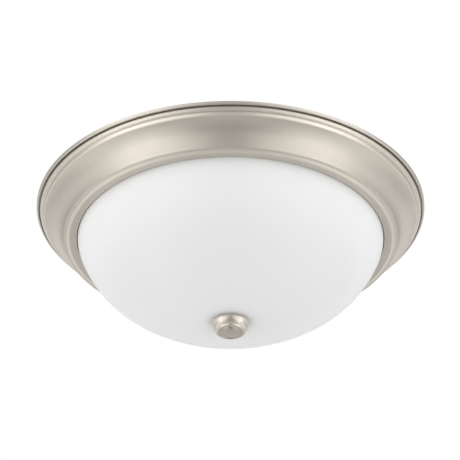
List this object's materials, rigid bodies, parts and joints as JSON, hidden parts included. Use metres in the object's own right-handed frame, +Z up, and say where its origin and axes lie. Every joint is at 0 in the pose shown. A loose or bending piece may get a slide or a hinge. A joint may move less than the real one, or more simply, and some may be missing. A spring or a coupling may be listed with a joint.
{
  "type": "flush mount ceiling light",
  "caption": "Round flush mount ceiling light: a stepped satin nickel pan holds an opal glass bowl with a centre finial, over lamps in holders on the pan.",
  "frame": {"origin": "centre of the ceiling plane, midway between the strap's two box slots", "axes": "+Z up into the ceiling, square to it; +X along the strap; the light hangs towards -Z; -Y is the side nearest the camera in the picture"},
  "size_m": [0.381, 0.381, 0.1367],
  "materials": {
    "satin_nickel_pan": "satin nickel plate on pressed steel",
    "satin_nickel_finial": "satin nickel plate, turned",
    "zinc_steel": "zinc plated",
    "green_screw": "green dyed plating",
    "opal_glass": "satin opal white",
    "lamp_glass": "soft white coated",
    "black_glass": "black glass",
    "porcelain": "white glaze",
    "brass": "rolled",
    "lamp_base_aluminium": "rolled thread",
    "lamp_tip": "soldered",
    "white_nylon": "moulded",
    "rubber": "matte"
  },
  "bodies": {
    "ceiling_mount": {"mounting_strap": "zinc_steel", "pan_screws": "zinc_steel", "pan_screw_nuts": "zinc_steel", "ground_screw": "green_screw"},
    "fixture": {"ceiling_pan": "satin_nickel_pan", "lead_bushing": "white_nylon", "centre_plate": "zinc_steel", "rod_lock_washer": "zinc_steel", "rod_top_nut": "zinc_steel", "rod_bottom_nut": "zinc_steel", "centre_rod": "zinc_steel", "bracket_rivets": "zinc_steel", "lampholder_screws": "zinc_steel", "lampholder_bracket_1": "zinc_steel", "lampholder_body_1": "porcelain", "screw_shell_1": "brass", "centre_contact_1": "brass", "lampholder_bracket_2": "zinc_steel", "lampholder_body_2": "porcelain", "screw_shell_2": "brass", "centre_contact_2": "brass", "lampholder_bracket_3": "zinc_steel", "lampholder_body_3": "porcelain", "screw_shell_3": "brass", "centre_contact_3": "brass"},
    "bowl": {"glass_shade": "opal_glass", "rubber_washer": "rubber"},
    "finial_seat": {"finial_washer": "zinc_steel"},
    "finial_knob": {"finial": "satin_nickel_finial"},
    "lamp_1": {"lamp_envelope_1": "lamp_glass", "lamp_base_1": "lamp_base_aluminium", "lamp_insulator_1": "black_glass", "lamp_tip_contact_1": "lamp_tip"},
    "lamp_2": {"lamp_envelope_2": "lamp_glass", "lamp_base_2": "lamp_base_aluminium", "lamp_insulator_2": "black_glass", "lamp_tip_contact_2": "lamp_tip"},
    "lamp_3": {"lamp_envelope_3": "lamp_glass", "lamp_base_3": "lamp_base_aluminium", "lamp_insulator_3": "black_glass", "lamp_tip_contact_3": "lamp_tip"}
  },
  "joints": [
    {"name": "pan_twist", "type": "hinge", "parent": "ceiling_mount", "child": "fixture", "pos_m": [0, 0, -0.0225], "axis": [0, 0, -1], "range_deg": [0, 20]},
    {"name": "bowl_lower", "type": "slide", "parent": "fixture", "child": "bowl", "axis": [0, 0, -1], "range_m": [0, 0.15]},
    {"name": "finial_travel", "type": "slide", "parent": "bowl", "child": "finial_seat", "axis": [0, 0, -1], "range_m": [0, 0.0074]},
    {"name": "finial_turn", "type": "hinge", "parent": "finial_seat", "child": "finial_knob", "pos_m": [0, 0, -0.13], "axis": [0, 0, -1], "range_deg": [0, 2830]},
    {"name": "lamp_1_unscrew", "type": "slide", "parent": "fixture", "child": "lamp_1", "axis": [-1, 0, 0], "range_m": [0, 0.025]},
    {"name": "lamp_2_unscrew", "type": "slide", "parent": "fixture", "child": "lamp_2", "axis": [0.5, -0.866, 0], "range_m": [0, 0.025]},
    {"name": "lamp_3_unscrew", "type": "slide", "parent": "fixture", "child": "lamp_3", "axis": [0.5, 0.866, 0], "range_m": [0, 0.025]}
  ],
  "couplings": [
    {"joint": "finial_travel", "follows": "finial_turn", "m_per_rad": 0.00014972}
  ]
}
